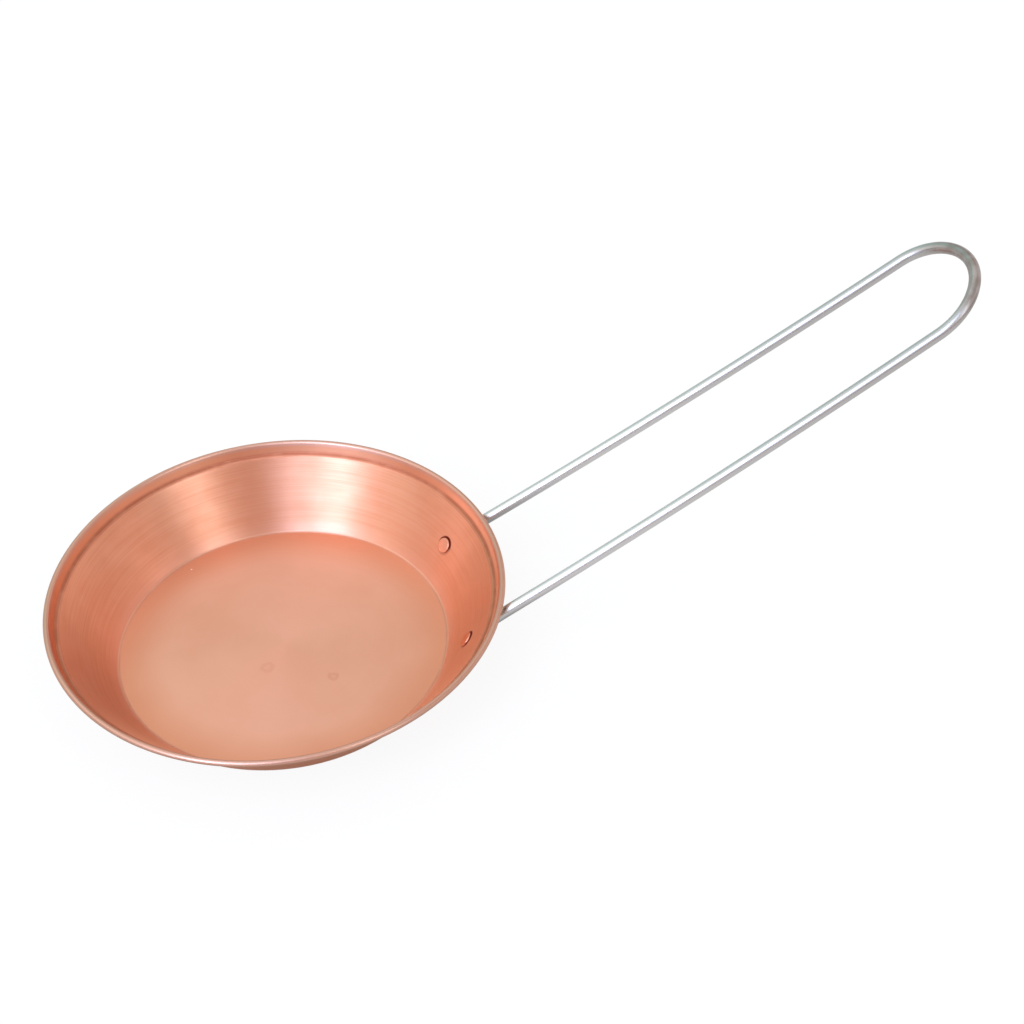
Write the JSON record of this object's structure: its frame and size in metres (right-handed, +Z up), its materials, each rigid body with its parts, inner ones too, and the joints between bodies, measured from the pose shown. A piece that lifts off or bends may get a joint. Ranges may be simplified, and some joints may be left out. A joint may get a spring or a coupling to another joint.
{
  "type": "frying pan",
  "caption": "Shallow round copper frying pan with a sloping wall, a stepped and rolled rim, and a long steel rod handle bent double and riveted to the wall.",
  "frame": {"origin": "centre of the flat underside, on the axis of the round pan", "axes": "+Z up out of the pan, +X from the pan towards the loop of the handle, +Y to the right-hand side of a cook who holds the handle"},
  "size_m": [0.4044, 0.2, 0.1569],
  "materials": {
    "copper_sheet": "copper, brushed in rings on the wall and satin on the floor",
    "steel_rod": "drawn stainless rod, satin",
    "copper_rivet": "copper, smooth"
  },
  "bodies": {
    "root": {"pan_body": "copper_sheet", "handle": "steel_rod", "rivet_left": "copper_rivet", "rivet_right": "copper_rivet"}
  },
  "joints": []
}
